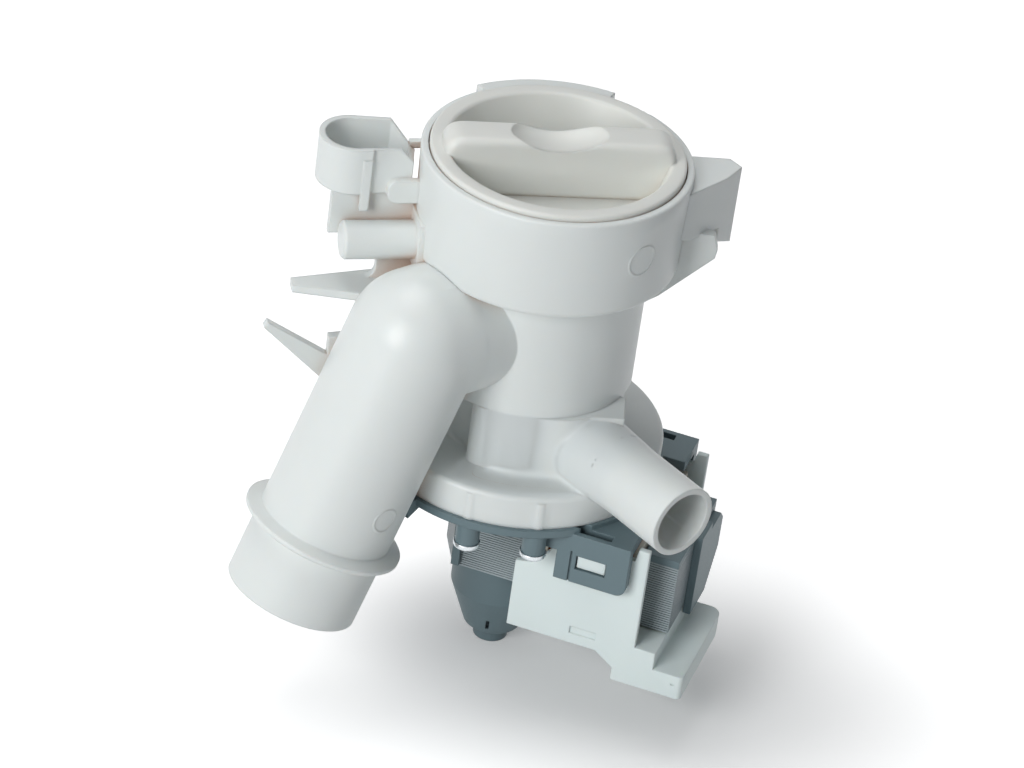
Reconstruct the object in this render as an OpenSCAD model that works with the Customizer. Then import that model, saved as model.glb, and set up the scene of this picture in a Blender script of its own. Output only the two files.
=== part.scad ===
/* [Filter cup and neck] */
// Outer radius of the cup at its shoulder
cup_r = 38; // [36:0.1:41]
// How much wider the cup is at its rim
cup_draft = 0.9; // [0:0.1:1.4]
// Height of the cup, from its shoulder to its rim
cup_h = 31; // [28:0.1:38]
// Wall of the cup and of the neck
cup_wall = 2.4; // [1.8:0.1:3]
// Outer radius of the neck under the cup
neck_r = 30.4; // [28.5:0.1:31]
// Height of the neck, from the pump chamber to the cup
neck_h = 38.6; // [36:0.1:46]
// Radius of the water hole between the neck and the pump chamber
eye_r = 11; // [8:0.1:13]

/* [Pump chamber] */
// Inner radius of the pump chamber
chamber_r = 22; // [20.5:0.1:24]
// Height of the chamber's outside, from the flange to the neck
chamber_h = 19.8; // [18.5:0.1:24]
// Wall of the pump chamber
chamber_wall = 2.3; // [1.8:0.1:3]
// Outer radius of the flange that clips on the motor
flange_r = 42.3; // [41.5:0.1:45]
// Height of the flange's skirt
flange_h = 10.4; // [9.6:0.1:14]
// Wall of the flange
flange_wall = 2.5; // [2:0.1:3]

/* [Sump inlet] */
// Outer radius of the inlet pipe, 40 mm hose size
inlet_r = 19.8; // [18:0.1:20.5]
// Wall of the inlet pipe
inlet_wall = 2.4; // [1.8:0.1:3]
// Direction of the inlet around the pump axis
inlet_turn = 222.5; // [218:0.5:227]
// Distance of the elbow from the pump axis
elbow_reach = 44; // [42:0.1:50]
// Depth of the elbow's centre below the cup's shoulder
elbow_drop = 17.2; // [16.5:0.1:19]
// Lean of the inlet pipe, away from the pump axis
inlet_lean = 20.6; // [17:0.1:26]
// Direction in which the inlet pipe leans
lean_turn = 213; // [208:0.5:220]
// Length of the inlet pipe, from the elbow's centre to its end
inlet_len = 87.7; // [80:0.1:100]
// Length of the spigot below the collar
spigot_len = 21.8; // [16:0.1:28]
// Outer radius of the hose collar
collar_r = 23.9; // [22:0.1:26]
// Thickness of the hose collar at its edge
collar_t = 1.6; // [1:0.1:3]

/* [Outlet nozzle] */
// Direction of the outlet around the pump axis
outlet_turn = -46.7; // [-52:0.5:-40]
// Outer radius at the outlet's end, 22 mm hose size
outlet_r = 10.8; // [9.5:0.1:11.5]
// Outer radius at the outlet's root
outlet_root_r = 12.4; // [11.6:0.1:13]
// Wall of the outlet
outlet_wall = 1.8; // [1.4:0.1:2.4]
// Distance of the outlet's end from the pump axis
outlet_reach = 72; // [68:0.1:84]
// Length of the straight spigot at the outlet's end
outlet_spigot = 22; // [16:0.1:24]

/* [Filter cap] */
// Radial gap between the cap and the cup
cap_gap = 0.35; // [0.3:0.05:0.5]
// Width of the flat rim on top of the cap
cap_rim = 4.6; // [3.6:0.1:6]
// Height of the cap's rim above the cup's
cap_proud = 1.5; // [1:0.1:2.5]
// Depth of the dish in the cap
dish_depth = 12.5; // [9:0.1:15]
// Wall of the cap
cap_wall = 2.2; // [1.8:0.1:3]
// Width of the grip bar across the dish
grip_w = 12; // [9:0.1:16]
// Height of the grip bar's ends above the cap's rim
grip_rise = 5.3; // [3:0.1:7]
// Depth of the hollow in the middle of the grip bar
grip_scoop = 2.2; // [1.5:0.1:4]
// Length of the hollow in the middle of the grip bar
grip_hollow = 27; // [20:0.5:32]
// Direction of the grip bar when the cap is shut
grip_turn = 11.5; // [5:0.5:20]

/* [Lint filter] */
// Radius of the lint filter's cage
cage_r = 24; // [21:0.1:25]
// Thickness of the cage's bars
cage_bar = 2.6; // [2:0.1:3.2]
// Number of upright bars in the cage
cage_bars = 8; // [6:1:10]

/* [Motor] */
// Direction of the motor around the pump axis
motor_turn = -15; // [-20:0.5:-10]
// Radius of the motor's front plate
plate_r = 43.5; // [43:0.1:46]
// Thickness of the motor's front plate
plate_t = 2.4; // [2:0.1:4]
// Outer radius of the rotor can
can_r = 14; // [13:0.1:15]
// Wall of the rotor can
can_wall = 1.6; // [1.2:0.1:2]
// Length of the straight part of the rotor can
can_len = 46.6; // [44.5:0.1:54]
// Length of the tapered part of the rotor can
can_taper = 14; // [12.5:0.1:18]
// Radius at the small end of the taper
can_tip_r = 8.8; // [8.3:0.1:10]
// Length of the bearing nose under the can
nose_len = 5.5; // [4.5:0.1:8]
// Radius of the bearing nose
nose_r = 5.2; // [4.4:0.1:6]

/* [Stator] */
// Height of the stack of steel sheets
stack_h = 21.5; // [18:0.1:26]
// Gap between the stack and the front plate
stack_gap = 10.6; // [9.5:0.1:13]
// Reach of the stack from the rotor axis to the motor's far end
stack_reach = 58.2; // [56:0.1:64]
// Thickness of the steel bar that closes the stack
yoke_t = 11.2; // [9:0.1:12.2]
// Width of each leg that carries a coil
leg_w = 9; // [8:0.1:10]
// Distance between the two legs
leg_gap = 18.6; // [18:0.1:20]
// Thickness of the copper winding
winding_t = 4.5; // [3:0.1:5]

/* [Coil cover] */
// Wall of the coil cover
cover_wall = 2; // [1.6:0.1:2.6]
// Depth of the cover's foot under its floor
foot_drop = 8.4; // [7:0.1:11]
// Length of the cover's foot
foot_len = 21.6; // [19:0.1:24]

/* [Brackets] */
// Direction of the brackets around the pump axis
bracket_turn = 16.4; // [12:0.1:20]
// Inner radius of the hose clip
clip_r = 8.3; // [7.5:0.1:9]
// Wall of the hose clip
clip_wall = 1.8; // [1.4:0.1:2.4]
// Height of the hose clip
clip_h = 14.2; // [12:0.1:18]
// Distance of the hose clip's centre from the pump axis
clip_reach = 56; // [55:0.1:60]
// Distance of the hose clip's centre behind the peg
clip_side = 12.9; // [11.8:0.1:13.8]
// Radius of the peg under the hose clip
peg_r = 5.6; // [4.5:0.1:6.5]
// Distance of the peg's end from the pump axis
peg_reach = 59.7; // [54:0.1:64]
// Distance of the prongs' tips from the pump axis
prong_reach = 72.5; // [66:0.1:80]

/* [Shaft and impeller] */
// Radius of the rotor shaft
shaft_r = 2; // [1.5:0.05:2.5]
// Radial running clearance of the shaft
shaft_play = 0.05; // [0.03:0.01:0.08]
// Radius of the impeller
impeller_r = 18.5; // [16:0.1:19.5]
// Height of the impeller's blades
blade_h = 10; // [7:0.1:12]
// Number of impeller blades
blades = 6; // [4:1:8]

/* [Hidden] */

$fn = 96;
white = "#eeebe6";
grey = "#5d6b73";
mint = "#dbe6e3";
steel = "#a9adb0";
rubber = "#2b2c2e";
copper = "#b5651d";
eps = 0.01;
fit = 0.3;

// Heights along the pump axis, from the bottom of the bearing nose.
can_low = nose_len + can_taper;
plate_low = can_low + can_len;
seam_z = plate_low + plate_t;
flange_top = seam_z + flange_h;
neck_low = flange_top + chamber_h;
neck_top = neck_low + neck_h;
rim_z = neck_top + cup_h;
stack_top = plate_low - stack_gap;
stack_low = stack_top - stack_h;

// Radii of the housing.
cup_rim_r = cup_r + cup_draft;
cup_bore = cup_r - cup_wall - 0.4;
seat_r = cup_rim_r - 2.1;
seat_depth = 3.4;
neck_bore = neck_r - cup_wall;
skirt_bore = flange_r - flange_wall;
collar_out = chamber_r + chamber_wall;

// The cap: its rim, its dish, its plug and the grip bar.
cap_r = seat_r - cap_gap;
cap_top = rim_z + cap_proud;
dish_r = cap_r - cap_rim;
dish_floor_r = dish_r - 4;
dish_z = cap_top - dish_depth;
cap_under = dish_z - cap_wall;
plug_r = cup_bore - 0.4;
plug_low = cap_under - 3.6;
seal_z = rim_z - seat_depth - 5;
seal_t = 1;
seal_r = cup_bore - fit - seal_t;
grip_top = cap_top + grip_rise;
grip_end = dish_r + 1.2;

// The inlet elbow, the cutting plane between it and the housing, and the outlet.
elbow_z = neck_top - elbow_drop;
bend_len = elbow_z - seam_z + 20;
inlet_cut = neck_r + 3;
outlet_z = flange_top + chamber_h / 2 - 2.9;
outlet_cut = flange_r + 0.5;

// The rotor, its bearings and the space that holds them.
spigot_r = chamber_r - fit;
rotor_cover_r = can_r + 2;
rotor_cover_z = seam_z + 0.4;
bearing_h = 7;
bearing_r = 4.5;
mount_t = 2.2;
tail_bearing_h = 6;
tail_bearing_r = 4;
tail_seat_z = nose_len + 1.5;
head_seat_z = flange_top - bearing_h - 1.6;
can_bore = can_r - can_wall;
magnet_r = can_bore - 1.2;
magnet_over = 3;
shaft_low = tail_seat_z - 3;
impeller_low = flange_top + 1;
shaft_top = impeller_low + blade_h + 1.5;

// The stator's legs and coils.
stack_half_w = leg_gap / 2 + leg_w;
leg_mid = (leg_gap + leg_w) / 2;
leg_start = can_r + 5;
leg_end = stack_reach - yoke_t;
stack_mid = (stack_low + stack_top) / 2;
bobbin_wall = 1;
coil_half_w = leg_w / 2 + bobbin_wall + winding_t;
coil_half_h = stack_h / 2 + bobbin_wall + winding_t - 0.5;

// The coil cover: its walls, floor and foot.
cover_in = leg_mid + coil_half_w + 3;
cover_out = cover_in + cover_wall;
cover_start = 12.3;
cover_end = leg_end + 4.5;
cover_floor_z = stack_mid - coil_half_h - 0.5;
cover_low = cover_floor_z - cover_wall;
yoke_low = stack_low - 1.5;
shelf_z = yoke_low - 0.8;
shelf_end = stack_reach - fit;
toe_z = cover_low - 0.5;
foot_low = cover_low - foot_drop;
foot_end = stack_reach + 9.1;
foot_start = foot_end - foot_len;
foot_back = 10;
blade_across = [-6, 2];
blade_x = leg_end + 7;
blade_w = 6.3;
blade_t = 0.8;
wall_top = stack_top + 6;
wall_high = plate_low - 0.6;

// Hook brackets under the front plate that grip the cover's sides.
hook_start = 25;
hook_len = 21.8;
hook_top = plate_low + 0.9;
hook_low = plate_low - 15.6;
hook_face = cover_out + 3.7;
hook_wall = 2;
hook_depth = 14;
window_start = 31;
window_len = 9.2;
window_low = plate_low - 10.9;
window_h = 4.7;
slot_start = window_start - 4.5;
slot_w = 2.8;

// Screws through the front plate into the flange, and hooks between them.
screw_turns = [-105, -77, 77, 105];
hook_turns = [0, 45, 135, 180];
hook_arc = 22;
screw_reach = skirt_bore;
post_r = 2.9;
boss_r = 3.5;
boss_h = 6.6;
screw_r = 1.5;
screw_head_r = 3.9;
screw_head_h = 1.8;

// Brackets beside the cup, in a frame with +x away from the pump axis.
clip_top = rim_z - 0.8;
clip_low = clip_top - clip_h;
clip_front = clip_r + clip_wall - clip_side - 0.05;
clip_step = 0.9;
peg_z = neck_top + 3;
prong_z = elbow_z + 4;

// The lost-motion drive between the rotor and the impeller.
dog_h = 5;
dog_turn = 60;
dog_reach = 5.6;

// Removes the corner at the origin, rounding the shape that lies towards -x and -y.
module corner_cut(r) {
    difference() {
        translate([-r, -r]) square(r + 1);
        translate([-r, -r]) circle(r);
    }
}

// Fills the inner corner at the origin, between surfaces that run along +x and +y.
module fillet_fill(r) {
    difference() {
        translate([-eps, -eps]) square(r + eps);
        translate([r, r]) circle(r);
    }
}

// Places children on the inlet's radial stub, with +x away from the pump axis.
module at_inlet() {
    rotate([0, 0, inlet_turn]) translate([0, 0, elbow_z]) children();
}

// Places children at the elbow's centre, with -z along the inlet pipe.
module along_pipe() {
    at_inlet() translate([elbow_reach, 0, 0]) rotate([0, 0, lean_turn - inlet_turn])
        rotate([0, -inlet_lean, 0]) children();
}

// Places children on the outlet's axis, with +x away from the pump axis.
module at_outlet() {
    rotate([0, 0, outlet_turn]) translate([0, 0, outlet_z]) children();
}

module motor_axes() rotate([0, 0, motor_turn]) children();

// Half-space beyond a plane across the inlet stub.
module beyond_inlet_cut() {
    at_inlet() translate([inlet_cut, -80, -140]) cube([160, 160, 200]);
}

// Half-space beyond a plane across the outlet.
module beyond_outlet_cut() at_outlet() translate([outlet_cut, -20, -20]) cube([80, 40, 40]);

// Radial stub, round elbow and a length of pipe, grown or shrunk by the wall.
module inlet_form(r, len) {
    at_inlet() rotate([0, 90, 0]) cylinder(r = r, h = elbow_reach);
    along_pipe() {
        sphere(r = r);
        translate([0, 0, -len]) cylinder(r = r, h = len);
    }
}

// The inlet beyond its cutting plane, as a solid, with a gap round it.
module outer_pipe(gap, len) intersection() {
    inlet_form(inlet_r + gap, len);
    beyond_inlet_cut();
}

module outlet_form() at_outlet() rotate([0, 90, 0]) {
    cylinder(r1 = outlet_root_r + 1.2, r2 = outlet_r, h = outlet_reach - outlet_spigot);
    cylinder(r = outlet_r, h = outlet_reach);
}

module outlet_bore() {
    at_outlet() rotate([0, 90, 0]) cylinder(r = outlet_r - outlet_wall, h = outlet_reach + 1);
}

// Outline of the pump chamber: a small circle that swells to the neck's radius towards the outlet.
// The swell of the hollow ends a wall short of the skin's, so that its end is closed.
module chamber_outline(wall) {
    swell = neck_r - chamber_wall + wall;
    corner = 3.5;
    far = 3 * neck_r;
    swell_end = -20 - (chamber_wall - wall) / chamber_r * 180 / PI;
    circle(r = chamber_r + wall);
    intersection() {
        circle(r = swell);
        polygon([[0, 0], [far * cos(-110), far * sin(-110)], [far * cos(-66), far * sin(-66)],
            [far * cos(swell_end), far * sin(swell_end)]]);
    }
    rotate([0, 0, -111]) {
        translate([neck_r - corner - chamber_wall + 1.5, 0]) circle(r = corner + wall - chamber_wall / 2);
        translate([0, -corner - wall + chamber_wall / 2])
            square([neck_r - corner - chamber_wall + 1.5, corner + wall]);
    }
}

// Outer skin of the cup and neck, turned about the pump axis.
module cup_skin() {
    edge = 0.7;
    shoulder = 1.6;
    rotate_extrude() {
        difference() {
            union() {
                translate([0, neck_low]) square([neck_r, neck_h + 1]);
                polygon([[0, neck_top], [cup_r, neck_top], [cup_rim_r, rim_z], [0, rim_z]]);
                translate([neck_r, neck_top]) mirror([0, 1]) fillet_fill(1.4);
            }
            translate([cup_rim_r, rim_z]) corner_cut(edge);
            translate([cup_r, neck_top]) mirror([0, 1]) corner_cut(shoulder);
        }
    }
}

// Flange with its skirt, top plate and the collar that the motor's spigot fits.
module flange_skin() {
    rotate_extrude() difference() {
        union() {
            translate([0, seam_z]) square([flange_r, flange_h]);
            translate([collar_out, flange_top]) fillet_fill(1.2);
        }
        translate([flange_r, flange_top]) corner_cut(1.5);
    }
    for (turn = screw_turns)
        rotate([0, 0, turn]) translate([screw_reach, 0, seam_z]) cylinder(r = post_r, h = flange_h - 1.5);
}

module flange_hollow() difference() {
    translate([0, 0, seam_z - 1]) cylinder(r = skirt_bore, h = flange_h - flange_wall + 1);
    translate([0, 0, seam_z + 1]) cylinder(r = collar_out, h = flange_h);
    outlet_form();
    for (turn = screw_turns)
        rotate([0, 0, turn]) translate([screw_reach, 0, seam_z - 2]) cylinder(r = post_r, h = flange_h);
    for (turn = hook_turns) rotate([0, 0, turn - hook_arc / 2 - 1]) rotate_extrude(angle = hook_arc + 2)
        translate([skirt_bore - 2, seam_z + 1.8]) square([3, 1.9]);
}

module cup_hollow() {
    rotate_extrude() {
        translate([0, neck_low + chamber_wall]) square([neck_bore, neck_h + cup_wall]);
        translate([0, neck_top + cup_wall]) square([cup_bore, cup_h]);
        translate([0, rim_z - seat_depth]) square([seat_r, seat_depth + 1]);
    }
    translate([0, 0, neck_low - chamber_wall - 1]) cylinder(r = eye_r, h = 2 * chamber_wall + 2);
}

module chamber_hollow() {
    chamber_low = seam_z + 1;
    translate([0, 0, chamber_low])
        cylinder(r = chamber_r, h = neck_low - chamber_wall - chamber_low);
    translate([0, 0, flange_top]) linear_extrude(chamber_h - chamber_wall) chamber_outline(0);
}

// Tube across the axis, as a ring that a mould's gate leaves on a skin.
module gate_tube(len, ring_r) {
    ring_w = 0.5;
    rotate([0, 90, 0]) difference() {
        cylinder(r = ring_r, h = len);
        translate([0, 0, -1]) cylinder(r = ring_r - ring_w, h = len + 2);
    }
}

// Low ring on the cup's front.
module gate_ring() {
    proud = 0.2;
    ring_r = 4.9;
    intersection() {
        rotate([0, 0, -44.8]) translate([0, 0, rim_z - 14.6]) gate_tube(cup_r + 4, ring_r);
        translate([0, 0, neck_top]) difference() {
            cylinder(r1 = cup_r + proud, r2 = cup_rim_r + proud, h = cup_h);
            translate([0, 0, -1]) cylinder(r = cup_r - 0.5, h = cup_h + 2);
        }
    }
}

// Low ring on the inlet pipe's front.
module pipe_ring() {
    ring_r = 4;
    along_pipe() translate([0, 0, -49.5]) intersection() {
        rotate([0, 0, 100]) gate_tube(inlet_r + 4, ring_r);
        translate([0, 0, -6]) difference() {
            cylinder(r = inlet_r + 0.2, h = 12);
            translate([0, 0, -1]) cylinder(r = inlet_r - 0.5, h = 14);
        }
    }
}

// Finger tab on the back of the rim.
module rim_tab() {
    tab_reach = 3.4;
    tab_h = 3;
    tab_arc = 57;
    rotate([0, 0, 71]) rotate_extrude(angle = tab_arc) difference() {
        translate([cup_rim_r - 1, rim_z - tab_h]) square([tab_reach + 1, tab_h]);
        translate([cup_rim_r + tab_reach, rim_z]) corner_cut(0.8);
    }
}

// Places children beside the cup, with +x away from the pump axis.
module at_brackets() rotate([0, 0, 180 + bracket_turn]) children();

// Round peg on a plate at the cup's side, and the web that carries the hose clip.
module side_peg() at_brackets() {
    plate_x = cup_r + 0.8;
    web_y = -peg_r - 2;
    web_reach = clip_reach + 6.4;
    edge = 0.8;
    translate([0, 0, peg_z]) rotate([0, 90, 0]) {
        cylinder(r = peg_r, h = peg_reach - edge);
        translate([0, 0, peg_reach - edge]) cylinder(r1 = peg_r, r2 = peg_r - edge, h = edge);
    }
    translate([plate_x - 8, web_y, neck_top - 4.5]) cube([8, 2 * peg_r + 4, clip_low - neck_top]);
    translate([plate_x - 8, web_y, peg_z - 1]) cube([web_reach - plate_x + 8, 2.2, clip_low - peg_z + 1]);
}

module pump_housing() color(white) difference() {
    union() {
        cup_skin();
        flange_skin();
        translate([0, 0, flange_top - 1]) linear_extrude(chamber_h + 1) chamber_outline(chamber_wall);
        difference() {
            inlet_form(inlet_r, bend_len);
            beyond_inlet_cut();
        }
        difference() {
            outlet_form();
            beyond_outlet_cut();
        }
        gate_ring();
        rim_tab();
        side_peg();
    }
    cup_hollow();
    flange_hollow();
    chamber_hollow();
    difference() {
        inlet_form(inlet_r - inlet_wall, bend_len);
        beyond_inlet_cut();
    }
    outlet_bore();
    outer_pipe(0, bend_len);
    for (turn = screw_turns)
        rotate([0, 0, turn]) translate([screw_reach, 0, seam_z - 1]) cylinder(r = screw_r, h = flange_h - 2);
}

module sump_inlet() color(white) difference() {
    union() {
        outer_pipe(0, inlet_len);
        pipe_ring();
        along_pipe() translate([0, 0, -inlet_len + spigot_len]) rotate_extrude()
            polygon([[0, 0], [collar_r - 0.5, 0], [collar_r, 0.5], [collar_r, collar_t],
                [inlet_r, collar_t + 1.2], [0, collar_t + 1.2]]);
    }
    inlet_form(inlet_r - inlet_wall, inlet_len + 1);
    cup_skin();
}

module outlet_nozzle() color(white) difference() {
    intersection() {
        outlet_form();
        beyond_outlet_cut();
    }
    outlet_bore();
}

// Plan of the ring: a circle with a tail towards the cup, whose front wall is set back by a step.
module clip_plan() {
    turn = -100;
    tail_x = cup_rim_r - 1.5;
    mid_y = 3.9 - clip_side;
    low_y = -3.3 - clip_side;
    out_r = clip_r + clip_wall;
    inner_front = clip_front - clip_wall;
    difference() {
        union() {
            translate([clip_reach, -clip_side]) circle(r = out_r);
            polygon([[clip_reach, clip_front], [clip_reach - 3.8, clip_front],
                [clip_reach - 3.8, clip_front - clip_step], [tail_x + 2.9, clip_front - clip_step],
                [tail_x + 1.8, mid_y], [tail_x, low_y], [tail_x + 6.2, low_y - 5.2],
                [clip_reach + (out_r - 0.05) * cos(turn), (out_r - 0.05) * sin(turn) - clip_side]]);
        }
        translate([clip_reach, -clip_side]) circle(r = clip_r);
        polygon([[clip_reach, inner_front], [tail_x + 4.6, inner_front], [tail_x + 3.7, mid_y],
            [tail_x + 2.3, low_y + 0.8], [tail_x + 7, low_y - 3.5],
            [clip_reach + (clip_r - 0.05) * cos(turn), (clip_r - 0.05) * sin(turn) - clip_side]]);
    }
}

// Ring that holds a hose, with a tail that slopes down to the cup, and the arm and bar that join them.
module hose_clip() color(white) difference() {
    slope_x = 44.2;
    rib_drop = 5.2;
    bar_y = -17.2;
    bar_z = clip_top - 6.4;
    arm_reach = 47.4;
    arm_side = clip_front - clip_step - eps;
    arm_w = 2.4;
    arm_h = 7;
    arm_r = 2.8;
    arm_z = clip_low - 2;
    at_brackets() {
        difference() {
            translate([0, 0, clip_low]) linear_extrude(clip_h) clip_plan();
            rotate([90, 0, 0]) linear_extrude(40) polygon([[slope_x - 9, clip_top - 9.9],
                [slope_x + 0.9, clip_top + 1], [slope_x - 9, clip_top + 1]]);
        }
        translate([clip_reach - 3.8, clip_front - 1.2, clip_low - rib_drop])
            cube([2.6, 1.5, clip_h + rib_drop - 3]);
        translate([neck_r, bar_y, bar_z]) cube([cup_rim_r + 0.4 - neck_r, 2, 2.1]);
        translate([neck_r, arm_side, arm_z]) {
            cube([arm_reach - arm_r - neck_r, arm_w, arm_h]);
            translate([0, 0, arm_r]) cube([arm_reach - neck_r, arm_w, arm_h - 2 * arm_r]);
            for (z = [arm_r, arm_h - arm_r]) translate([arm_reach - arm_r - neck_r, arm_w, z])
                rotate([90, 0, 0]) cylinder(r = arm_r, h = arm_w);
        }
    }
    cup_skin();
    side_peg();
}

// Two flat prongs that guide a cable: a level one above, and one that rises towards its tip below.
module guide_prongs() color(white) difference() {
    prong_w = 4;
    prong_t = 2.5;
    low_root = 61;
    low_z = elbow_z - 15.6;
    at_brackets() union() {
        translate([0, 0, prong_z]) linear_extrude(prong_t)
            polygon([[30, -9], [46, -6.5], [prong_reach, -prong_w / 2], [prong_reach, prong_w / 2],
                [46, 9], [30, 12]]);
        translate([0, -1.5, prong_z + prong_t - eps]) rotate([90, 0, 0]) linear_extrude(2.5) {
            translate([30, 0]) square([18.3, peg_z - prong_z - prong_t]);
            translate([48.3, 0]) fillet_fill(3.2);
        }
        translate([0, 4.6, 0]) rotate([90, 0, 0]) linear_extrude(2.6) polygon([[40, low_z + 2],
            [low_root - 6, low_z + 6.5], [low_root, low_z + 6], [low_root, low_z],
            [prong_reach + 6.5, low_z + 11.2], [prong_reach + 7.5, low_z + 9.4],
            [low_root, low_z - 9], [40, low_z - 12]]);
    }
    cup_skin();
    inlet_form(inlet_r, inlet_len);
    side_peg();
}

// Hollow box with a cut corner on the cup's side, and the gusset that carries it from the neck.
module mounting_wing() color(white) difference() {
    box_low = neck_top + 2.4;
    box_top = rim_z - 3;
    front_low = box_low + 0.3 * cup_h;
    front_y = 4.6;
    low_slope = 26.5;
    wall = 2.2;
    rotate([0, 0, bracket_turn - 16.4]) {
        difference() {
            translate([0, 0, box_low]) linear_extrude(box_top - box_low)
                polygon([[30, 13.4], [48.6, 16.2], [52.2, 12.4], [48.1, 4.6], [34, -12.2], [30, -9]]);
            translate([0, 0, box_low - 1]) linear_extrude(box_top - box_low + 1 - wall)
                polygon([[30, 11], [47.6, 13.7], [49.6, 12], [46, 5.4], [37, -5.2], [30, -5.2]]);
            translate([30, front_y - 30, box_low - 1]) cube([30, 30, front_low - box_low + 1]);
            translate([30, 14, box_low]) rotate([-low_slope, 0, 0]) translate([0, -40, -20])
                cube([30, 40, 20]);
        }
        translate([0, 1.2, 0]) rotate([90, 0, 0]) linear_extrude(3) polygon([[28, front_low + 1],
            [47.2, front_low + 1], [48.6, front_low - 3.6], [48.2, front_low - 6.4],
            [34, front_low - 21.4], [28, front_low - 26]]);
    }
    cup_skin();
}

// Bar across the dish, with raised ends and a hollow middle.
module grip_bar() {
    edge = 2.4;
    slope = 4.5;
    half = grip_hollow / 2;
    mid = grip_top - grip_scoop;
    intersection() {
        translate([0, grip_w / 2, 0]) rotate([90, 0, 0]) linear_extrude(grip_w) polygon([
            [-grip_end, dish_z - eps], [-grip_end, grip_top - edge], [-grip_end + edge, grip_top],
            [-half, grip_top], [-half + slope / 3, mid + 0.6], [-half + slope, mid],
            [half - 2 * slope, mid], [half - slope / 2, mid + 0.9], [half, grip_top],
            [grip_end - edge, grip_top], [grip_end, grip_top - edge], [grip_end, dish_z - eps]]);
        translate([-cap_r, 0, 0]) rotate([90, 0, 90]) linear_extrude(2 * cap_r) polygon([
            [-grip_w / 2, dish_z - eps], [-grip_w / 2, grip_top - 4], [-grip_w / 2 + 1, grip_top - 1.4],
            [-grip_w / 2 + 3, grip_top], [grip_w / 2 - 2, grip_top], [grip_w / 2 - 0.6, grip_top - 0.6],
            [grip_w / 2, grip_top - 2], [grip_w / 2, dish_z - eps]]);
    }
}

module filter_cap() color(white) difference() {
    edge = 0.9;
    notch_depth = 1.6;
    union() {
        rotate_extrude() difference() {
            union() {
                translate([0, rim_z - seat_depth + fit]) square([cap_r, cap_top - rim_z + seat_depth - fit]);
                translate([0, plug_low]) square([plug_r, rim_z - seat_depth + fit - plug_low + eps]);
            }
            translate([cap_r, cap_top]) corner_cut(edge);
            polygon([[0, dish_z], [dish_floor_r, dish_z], [dish_r, cap_top + eps], [0, cap_top + eps]]);
            translate([0, plug_low - eps]) square([plug_r - cap_wall, cap_under - plug_low + eps]);
        }
        rotate([0, 0, grip_turn]) grip_bar();
    }
    rotate([0, 0, grip_turn]) translate([grip_end, -1, cap_top - notch_depth])
        cube([cap_r, 8, notch_depth + 1]);
    rotate_extrude() translate([seal_r, seal_z]) circle(r = seal_t + fit / 2);
}

module cap_seal() color(rubber) {
    rotate_extrude() translate([seal_r, seal_z]) circle(r = seal_t);
}

// Cage of upright bars between rings, hung under the cap.
module lint_filter() color(white) {
    low_z = neck_low + chamber_wall + fit;
    top_z = cap_under - fit;
    ring_h = 3;
    for (z = [low_z, (low_z + top_z) / 2, top_z - ring_h]) translate([0, 0, z]) difference() {
        cylinder(r = cage_r, h = ring_h);
        translate([0, 0, -1]) cylinder(r = cage_r - cage_bar, h = ring_h + 2);
    }
    for (k = [0 : cage_bars - 1]) rotate([0, 0, k * 360 / cage_bars])
        translate([cage_r - cage_bar, -cage_bar / 2, low_z + eps])
            cube([cage_bar - 0.2, cage_bar, top_z - low_z - 2 * eps]);
}

module impeller() color(rubber) {
    hub_r = 7.5;
    translate([0, 0, impeller_low]) difference() {
        union() {
            cylinder(r = impeller_r, h = 1.4);
            cylinder(r = hub_r, h = blade_h + 0.6);
            for (k = [0 : blades - 1]) rotate([0, 0, k * 360 / blades]) intersection() {
                translate([0, -0.8, 0]) cube([impeller_r + 1, 1.6, blade_h]);
                cylinder(r = impeller_r - 0.3, h = blade_h);
            }
        }
        dog_pocket(hub_r);
        translate([0, 0, -1]) cylinder(r = shaft_r + shaft_play, h = blade_h + 2);
    }
}

// Ring-shaped pocket under the hub, with the block that the drive dog pushes.
module dog_pocket(hub_r) {
    difference() {
        translate([0, 0, -1]) cylinder(r = hub_r - 1.6, h = dog_h + 1 + fit);
        rotate([0, 0, -dog_turn / 2]) translate([0, 0, -2]) rotate_extrude(angle = dog_turn)
            translate([shaft_r + shaft_play - 1, 0]) square([hub_r, dog_h + 3]);
    }
}

module drive_dog() color(white) translate([0, 0, impeller_low + fit])
    rotate([0, 0, dog_turn / 2 + 6]) rotate_extrude(angle = dog_turn)
        translate([shaft_r + shaft_play, 0]) square([dog_reach - shaft_r - shaft_play, dog_h - fit]);

module rotor_shaft() color(steel) translate([0, 0, shaft_low])
    cylinder(r = shaft_r, h = shaft_top - shaft_low);

module rotor_magnet() color(rubber) translate([0, 0, stack_low - magnet_over]) difference() {
    cylinder(r = magnet_r, h = stack_h + 2 * magnet_over);
    translate([0, 0, -1]) cylinder(r = shaft_r + shaft_play, h = stack_h + 2 * magnet_over + 2);
}

// Bush with a running bore for the shaft.
module bush(r, h) difference() {
    cylinder(r = r, h = h);
    translate([0, 0, -1]) cylinder(r = shaft_r + shaft_play, h = h + 2);
}

// Soft ring round a bush.
module soft_ring(r_in, h) difference() {
    cylinder(r = r_in + mount_t, h = h);
    translate([0, 0, -1]) cylinder(r = r_in + 0.05, h = h + 2);
}

module front_bearing() color(steel) translate([0, 0, head_seat_z]) bush(bearing_r, bearing_h);

module front_bearing_mount() color(rubber) translate([0, 0, head_seat_z])
    soft_ring(bearing_r, bearing_h);

module rear_bearing() color(steel) translate([0, 0, tail_seat_z]) bush(tail_bearing_r, tail_bearing_h);

module rear_bearing_mount() color(rubber) translate([0, 0, tail_seat_z])
    soft_ring(tail_bearing_r, tail_bearing_h);

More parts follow.
